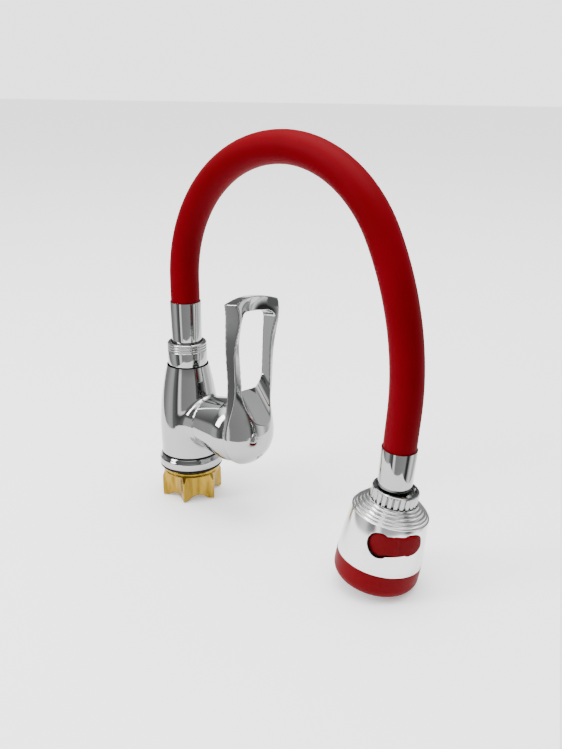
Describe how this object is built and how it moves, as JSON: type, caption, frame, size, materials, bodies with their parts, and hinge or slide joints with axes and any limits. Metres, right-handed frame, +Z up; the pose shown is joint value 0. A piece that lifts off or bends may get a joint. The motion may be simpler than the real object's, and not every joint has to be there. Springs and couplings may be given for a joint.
{
  "type": "kitchen mixer tap",
  "caption": "Kitchen mixer tap: chrome body with a side lever handle, a flexible red gooseneck spout and a tilting spray head with a rocker switch.",
  "frame": {"origin": "centre of the base at deck level, on the underside of the base gasket", "axes": "+Z up along the body column; +X from the body along the side branch to the lever; +Y to the left of +X seen from above"},
  "size_m": [0.2463, 0.0785, 0.2933],
  "materials": {
    "chrome": "polished chrome plate",
    "brass": "bare pale brass, as machined",
    "black_rubber": "matt black rubber",
    "white_ceramic": "lapped white ceramic",
    "white_plastic": "moulded white acetal",
    "grey_plastic": "moulded grey plastic",
    "steel": "stainless steel",
    "red_silicone": "satin red silicone",
    "red_plastic": "satin red plastic",
    "chromed_plastic": "chrome plated plastic",
    "grey_silicone": "soft grey silicone"
  },
  "bodies": {
    "body": {"body_casting": "chrome", "base_ring": "chrome", "base_seal": "black_rubber", "deck_gasket": "black_rubber", "threaded_shank": "brass", "cartridge_base": "grey_plastic", "cartridge_seals": "black_rubber", "fixed_ceramic_disc": "white_ceramic", "cartridge_housing": "white_plastic", "cartridge_nut": "brass", "cartridge_bonnet": "chrome", "spout_collar": "chrome"},
    "mixing_stem": {"stem_guide": "white_plastic", "lever_pin": "steel"},
    "lever": {"stem_lever": "steel", "handle": "chrome", "handle_grub_screw": "steel"},
    "ceramic_slide": {"disc_carrier": "white_plastic", "moving_ceramic_disc": "white_ceramic"},
    "spout_lower": {"swivel_tail": "brass", "tail_orings": "black_rubber", "slip_ring": "white_plastic", "inlet_ferrule": "chrome", "spout_sleeve": "red_silicone", "flex_core": "steel"},
    "spout_upper": {"outlet_ferrule": "chrome"},
    "nipple": {"ball_nipple": "brass"},
    "ball_socket": {"ball_seat": "white_plastic", "ball_seal": "black_rubber"},
    "head": {"union_nut": "chromed_plastic", "head_shell": "chromed_plastic", "head_core": "grey_plastic", "rocker_pin": "steel", "spool_plug": "brass", "spray_cup": "red_plastic", "nozzle_plate": "grey_plastic", "nozzle_pad": "grey_silicone", "head_seal": "black_rubber", "aerator_housing": "grey_plastic", "aerator_insert": "white_plastic"},
    "rocker": {"mode_rocker": "red_plastic"},
    "diverter": {"diverter_spool": "brass"},
    "washer": {"clamp_washer": "steel"},
    "nut": {"star_nut": "brass"}
  },
  "joints": [
    {"name": "handle_temperature", "type": "hinge", "parent": "body", "child": "mixing_stem", "pos_m": [0.048, 0, 0.0405], "axis": [1, 0, 0], "range_deg": [-40, 49]},
    {"name": "handle_lift", "type": "hinge", "parent": "mixing_stem", "child": "lever", "pos_m": [0.048, 0, 0.0405], "axis": [0, 0.9966, -0.0819], "range_deg": [0, 22]},
    {"name": "disc_slide", "type": "slide", "parent": "mixing_stem", "child": "ceramic_slide", "axis": [0, 0.0819, 0.9966], "range_m": [0, 0.0075]},
    {"name": "spout_swivel", "type": "hinge", "parent": "body", "child": "spout_lower", "pos_m": [0, 0, 0.09], "axis": [0, 0, 1], "continuous": true},
    {"name": "spout_flex", "type": "hinge", "parent": "spout_lower", "child": "spout_upper", "pos_m": [0.1, -0.00647, 0.2525], "axis": [0.0645, 0.9979, 0], "range_deg": [-40, 8], "deforming": ["spout_sleeve", "flex_core"]},
    {"name": "nipple_swivel", "type": "hinge", "parent": "spout_upper", "child": "nipple", "pos_m": [0.19875, -0.01285, 0.07142], "axis": [0.087, -0.0056, 0.9962], "continuous": true},
    {"name": "head_tilt", "type": "hinge", "parent": "nipple", "child": "ball_socket", "pos_m": [0.19518, -0.01262, 0.03057], "axis": [-0.7736, 0.6297, 0.0711], "range_deg": [-14.6, 1.9]},
    {"name": "head_spin", "type": "hinge", "parent": "ball_socket", "child": "head", "pos_m": [0.19518, -0.01262, 0.03057], "axis": [0.1562, 0.0807, 0.9844], "continuous": true},
    {"name": "rocker_tilt", "type": "hinge", "parent": "head", "child": "rocker", "pos_m": [0.20835, -0.03033, 0.01419], "axis": [0.1562, 0.0807, 0.9844], "range_deg": [0, 10]},
    {"name": "diverter_slide", "type": "slide", "parent": "head", "child": "diverter", "axis": [-0.7097, -0.684, 0.1687], "range_m": [0, 0.00195]},
    {"name": "nut_travel", "type": "slide", "parent": "body", "child": "washer", "axis": [0, 0, -1], "range_m": [0, 0.018]},
    {"name": "nut_turn", "type": "hinge", "parent": "washer", "child": "nut", "pos_m": [0, 0, -0.013], "axis": [0, 0, -1], "range_deg": [0, 4320]}
  ],
  "couplings": [
    {"joint": "disc_slide", "follows": "handle_lift", "m_per_rad": 0.019478},
    {"joint": "rocker_tilt", "follows": "diverter_slide", "rad_per_m": 89.41},
    {"joint": "nut_travel", "follows": "nut_turn", "m_per_rad": 0.00023873}
  ]
}
